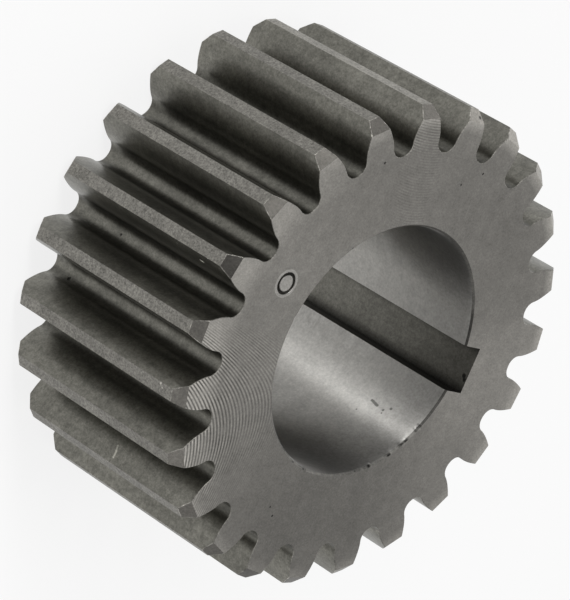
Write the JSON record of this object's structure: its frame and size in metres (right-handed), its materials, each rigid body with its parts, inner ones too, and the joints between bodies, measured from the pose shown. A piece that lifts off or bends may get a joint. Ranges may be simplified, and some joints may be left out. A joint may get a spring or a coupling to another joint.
{
  "type": "gear wheel",
  "caption": "Straight-toothed steel spur gear with a wide face, bevelled tooth ends, a plain keyed bore and a ring punched in its front face.",
  "frame": {"origin": "on the bore axis, at half the face width", "axes": "+Z along the bore axis towards the front face with the punched ring, +X through the middle of the keyway"},
  "size_m": [0.0624, 0.0623, 0.03],
  "materials": {
    "steel": "dull machined steel: fine facing rings on the faces, ground bore, satin tooth flanks"
  },
  "bodies": {
    "root": {"gear_wheel": "steel"}
  },
  "joints": []
}
